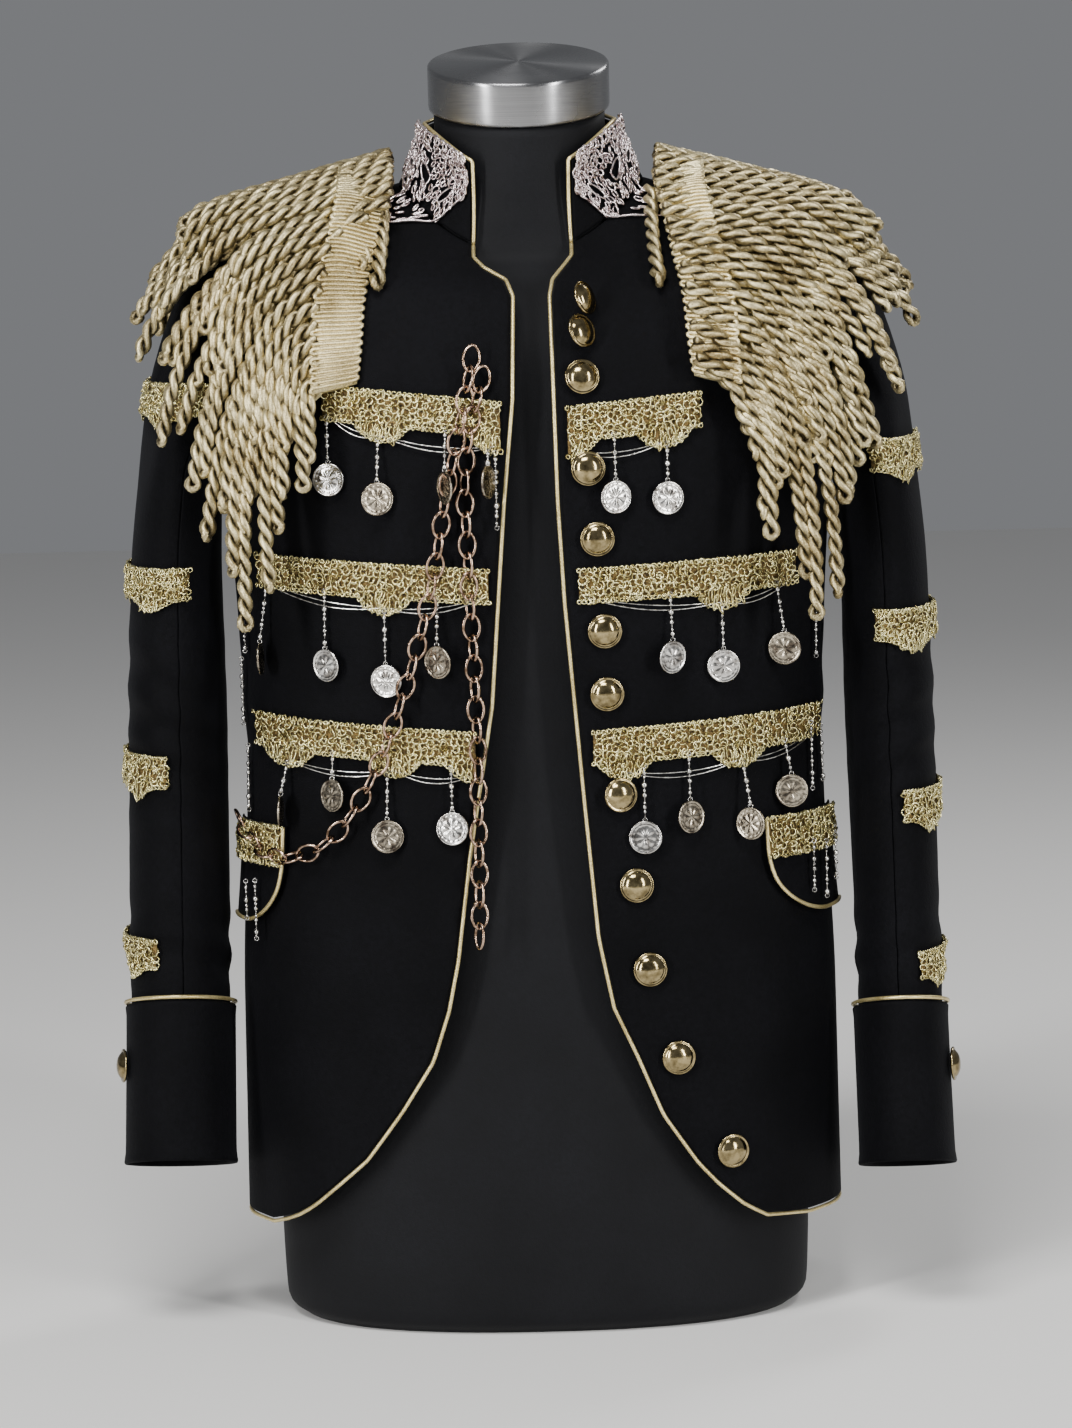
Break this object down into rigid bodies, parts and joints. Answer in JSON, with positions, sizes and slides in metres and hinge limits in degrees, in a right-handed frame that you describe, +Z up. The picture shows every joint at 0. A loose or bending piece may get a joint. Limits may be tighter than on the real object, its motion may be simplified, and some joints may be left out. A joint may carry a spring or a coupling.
{
  "type": "suit jacket on a dress form",
  "caption": "Black stage jacket in a military cut, worn open on a limbless dress form, with rope fringe shoulders, gold braid bands, coin pendants and a chain.",
  "frame": {"origin": "centre of the dress form's flat base", "axes": "+Z up, -Y the way the wearer faces, +X the wearer's left"},
  "size_m": [0.5615, 0.2699, 0.8467],
  "materials": {
    "black_wool": "napped wool suiting",
    "black_jersey": "smooth jersey cover",
    "brushed_steel": "brushed",
    "gold_trim": "metallic gold bullion and braid",
    "gold_metal": "polished gold plate",
    "silver_lace": "metallic silver lace"
  },
  "bodies": {
    "root": {"collar": "black_wool", "front_right": "black_wool", "front_left": "black_wool", "back_right": "black_wool", "back_left": "black_wool", "sleeve_top_right": "black_wool", "sleeve_top_left": "black_wool", "sleeve_under_right": "black_wool", "sleeve_under_left": "black_wool", "cuff_right": "black_wool", "cuff_left": "black_wool", "flap_right": "black_wool", "flap_left": "black_wool", "form_torso": "black_jersey", "neck_cap": "brushed_steel", "band_right_1": "gold_trim", "band_right_2": "gold_trim", "band_right_3": "gold_trim", "band_left_1": "gold_trim", "band_left_2": "gold_trim", "band_left_3": "gold_trim", "flap_band_right": "gold_trim", "flap_band_left": "gold_trim", "sleeve_band_right_1": "gold_trim", "sleeve_band_right_2": "gold_trim", "sleeve_band_right_3": "gold_trim", "sleeve_band_right_4": "gold_trim", "sleeve_band_left_1": "gold_trim", "sleeve_band_left_2": "gold_trim", "sleeve_band_left_3": "gold_trim", "sleeve_band_left_4": "gold_trim", "fringe_right_1": "gold_trim", "fringe_right_2": "gold_trim", "fringe_right_3": "gold_trim", "fringe_left_1": "gold_trim", "fringe_left_2": "gold_trim", "fringe_left_3": "gold_trim", "piping_collar": "gold_trim", "piping_front_right": "gold_trim", "piping_front_left": "gold_trim", "piping_cuff_right": "gold_trim", "piping_cuff_left": "gold_trim", "button_01": "gold_metal", "button_02": "gold_metal", "button_03": "gold_metal", "button_04": "gold_metal", "button_05": "gold_metal", "button_06": "gold_metal", "button_07": "gold_metal", "button_08": "gold_metal", "button_09": "gold_metal", "button_10": "gold_metal", "button_11": "gold_metal", "button_12": "gold_metal", "cuff_button_right": "gold_metal", "cuff_button_left": "gold_metal", "chain_loop": "gold_metal", "chain_tail": "gold_metal", "lace_right": "silver_lace", "lace_left": "silver_lace"}
  },
  "joints": []
}
